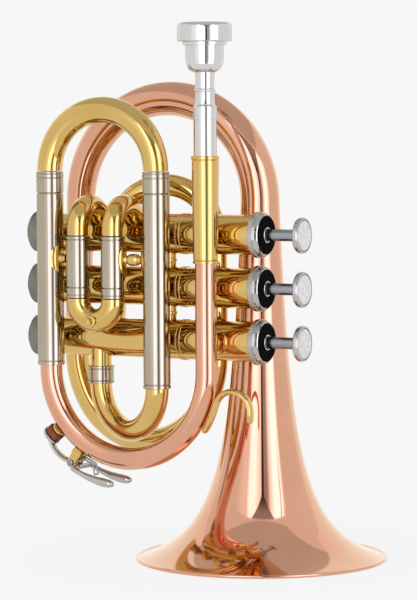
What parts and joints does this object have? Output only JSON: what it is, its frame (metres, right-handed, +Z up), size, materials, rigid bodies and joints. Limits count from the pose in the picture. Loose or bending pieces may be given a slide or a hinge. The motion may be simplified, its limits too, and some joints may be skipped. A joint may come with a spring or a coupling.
{
  "type": "pocket trumpet",
  "caption": "Compact brass trumpet that stands on its bell, with piston valves, pull slides, a water key, a pinky hook and a removable mouthpiece.",
  "frame": {"origin": "middle of the base of the whole trumpet's box, on the plane that the bell's rim stands on", "axes": "+Z up along the bell and towards the mouthpiece, +X along the valves towards the finger buttons, -Y the side of the leadpipe loop"},
  "size_m": [0.1738, 0.123, 0.2602],
  "materials": {
    "rose_brass": "polished rose brass under clear lacquer",
    "yellow_brass": "polished yellow brass under clear lacquer",
    "nickel": "polished nickel silver",
    "silver_plate": "bright silver plate",
    "spring_steel": "drawn spring steel",
    "pearl": "pearlescent white disc",
    "black_felt": "dense black felt",
    "cork": "dark cork"
  },
  "bodies": {
    "horn": {"bell": "rose_brass", "bell_joint_ferrule": "nickel", "tail_bow": "yellow_brass", "tail_arch": "yellow_brass", "leadpipe": "rose_brass", "mouthpiece_receiver": "yellow_brass", "left_slide_sleeve": "nickel", "right_slide_sleeve": "nickel", "return_crook": "yellow_brass", "return_ferrule": "nickel", "third_valve_inlet": "yellow_brass", "valve_casing_1": "yellow_brass", "top_cap_1": "nickel", "bottom_cap_1": "nickel", "cap_felt_1": "black_felt", "piston_spring_1": "spring_steel", "valve_casing_2": "yellow_brass", "top_cap_2": "nickel", "bottom_cap_2": "nickel", "cap_felt_2": "black_felt", "piston_spring_2": "spring_steel", "valve_casing_3": "yellow_brass", "top_cap_3": "nickel", "bottom_cap_3": "nickel", "cap_felt_3": "black_felt", "piston_spring_3": "spring_steel", "knuckle_1_2": "yellow_brass", "knuckle_2_3": "yellow_brass", "first_slide_elbow_left": "yellow_brass", "first_slide_elbow_right": "yellow_brass", "first_slide_sleeve_left": "nickel", "first_slide_sleeve_right": "nickel", "brace_left": "yellow_brass", "brace_right": "yellow_brass", "bell_brace": "yellow_brass", "leadpipe_brace": "yellow_brass", "pinky_hook": "yellow_brass", "water_key_saddle": "yellow_brass", "water_key_screw": "spring_steel", "water_key_spring": "spring_steel"},
    "tuning_slide": {"tuning_leg_left": "nickel", "tuning_leg_right": "nickel", "tuning_crook": "yellow_brass"},
    "first_slide": {"first_slide_leg_left": "nickel", "first_slide_leg_right": "nickel", "first_slide_bow": "yellow_brass"},
    "second_slide": {"second_slide": "yellow_brass"},
    "third_slide": {"third_slide": "yellow_brass"},
    "mouthpiece": {"mouthpiece": "silver_plate"},
    "water_key": {"water_key": "nickel", "water_key_cork": "cork"},
    "valve_1": {"piston_1": "nickel", "finger_button_1": "nickel", "button_pearl_1": "pearl"},
    "valve_2": {"piston_2": "nickel", "finger_button_2": "nickel", "button_pearl_2": "pearl"},
    "valve_3": {"piston_3": "nickel", "finger_button_3": "nickel", "button_pearl_3": "pearl"}
  },
  "joints": [
    {"name": "valve_1_press", "type": "slide", "parent": "horn", "child": "valve_1", "axis": [-1, 0, 0], "range_m": [0, 0.015], "stiffness_N_per_m": 160, "springref_m": -0.012, "deforming": ["piston_spring_1"]},
    {"name": "valve_2_press", "type": "slide", "parent": "horn", "child": "valve_2", "axis": [-1, 0, 0], "range_m": [0, 0.015], "stiffness_N_per_m": 160, "springref_m": -0.012, "deforming": ["piston_spring_2"]},
    {"name": "valve_3_press", "type": "slide", "parent": "horn", "child": "valve_3", "axis": [-1, 0, 0], "range_m": [0, 0.015], "stiffness_N_per_m": 160, "springref_m": -0.012, "deforming": ["piston_spring_3"]},
    {"name": "tuning_slide_pull", "type": "slide", "parent": "horn", "child": "tuning_slide", "axis": [0, 0, 1], "range_m": [0, 0.065]},
    {"name": "first_slide_pull", "type": "slide", "parent": "horn", "child": "first_slide", "axis": [0, 0, -1], "range_m": [0, 0.018]},
    {"name": "second_slide_pull", "type": "slide", "parent": "horn", "child": "second_slide", "axis": [0, 1, 0], "range_m": [0, 0.012]},
    {"name": "third_slide_pull", "type": "slide", "parent": "horn", "child": "third_slide", "axis": [0, 0, 1], "range_m": [0, 0.02]},
    {"name": "mouthpiece_lift", "type": "slide", "parent": "horn", "child": "mouthpiece", "axis": [0, 0, 1], "range_m": [0, 0.028]},
    {"name": "water_key_press", "type": "hinge", "parent": "horn", "child": "water_key", "pos_m": [-0.05368, -0.0445, 0.04831], "axis": [0, -1, 0], "range_deg": [0, 10], "stiffness_Nm_per_rad": 0.05, "springref_deg": -20.05, "deforming": ["water_key_spring"]}
  ]
}
